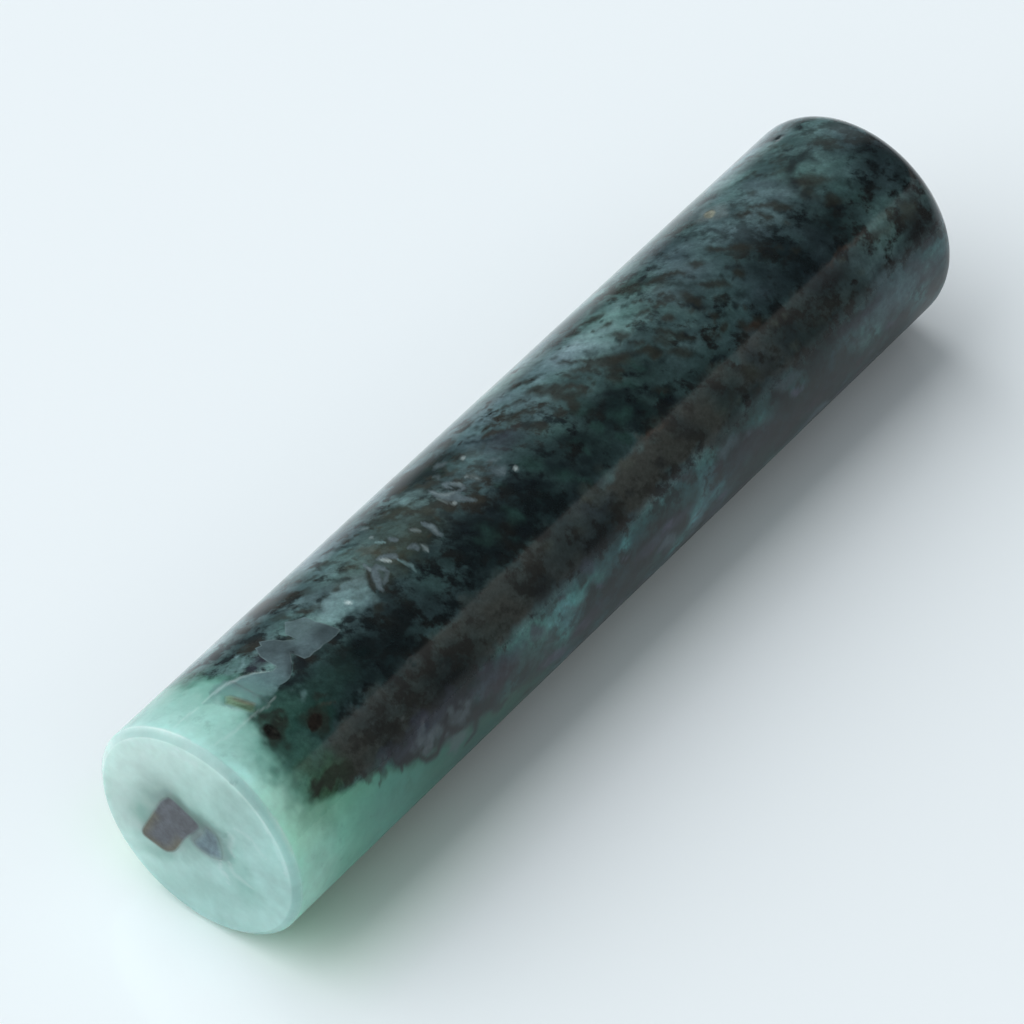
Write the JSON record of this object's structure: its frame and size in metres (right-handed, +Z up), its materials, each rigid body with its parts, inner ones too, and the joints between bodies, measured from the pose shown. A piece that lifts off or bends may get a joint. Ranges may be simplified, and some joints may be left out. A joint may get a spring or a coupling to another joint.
{
  "type": "seal stamp",
  "caption": "Blank round seal stamp of polished mottled green stone, with a bevelled flat seal face and a rounded top rim.",
  "frame": {"origin": "on the table, midway along the stone, under its axis", "axes": "+X along the stone's axis from the seal face to the top end, +Z up"},
  "size_m": [0.06, 0.0136, 0.0135],
  "materials": {
    "mottled_jade": "polished to a wet gloss, pale mint at the seal end and mottled dark teal along the shaft",
    "brown_crystal": "polished, dull brown with a grey bloom",
    "lilac_mineral": "polished, cloudy lilac grey",
    "olive_mineral": "polished, olive to brown along its length",
    "grey_mineral": "polished, smooth slate grey with a soft sheen",
    "black_mineral": "polished black with a green edge",
    "brown_mineral": "polished black brown",
    "beige_mineral": "polished, cloudy beige"
  },
  "bodies": {
    "root": {"jade_body": "mottled_jade", "face_crystal": "brown_crystal", "lilac_grain": "lilac_mineral", "olive_lath": "olive_mineral", "grey_flake": "grey_mineral", "dark_grain_large": "black_mineral", "dark_grain_small": "black_mineral", "brown_grain": "brown_mineral", "beige_grain": "beige_mineral"}
  },
  "joints": []
}
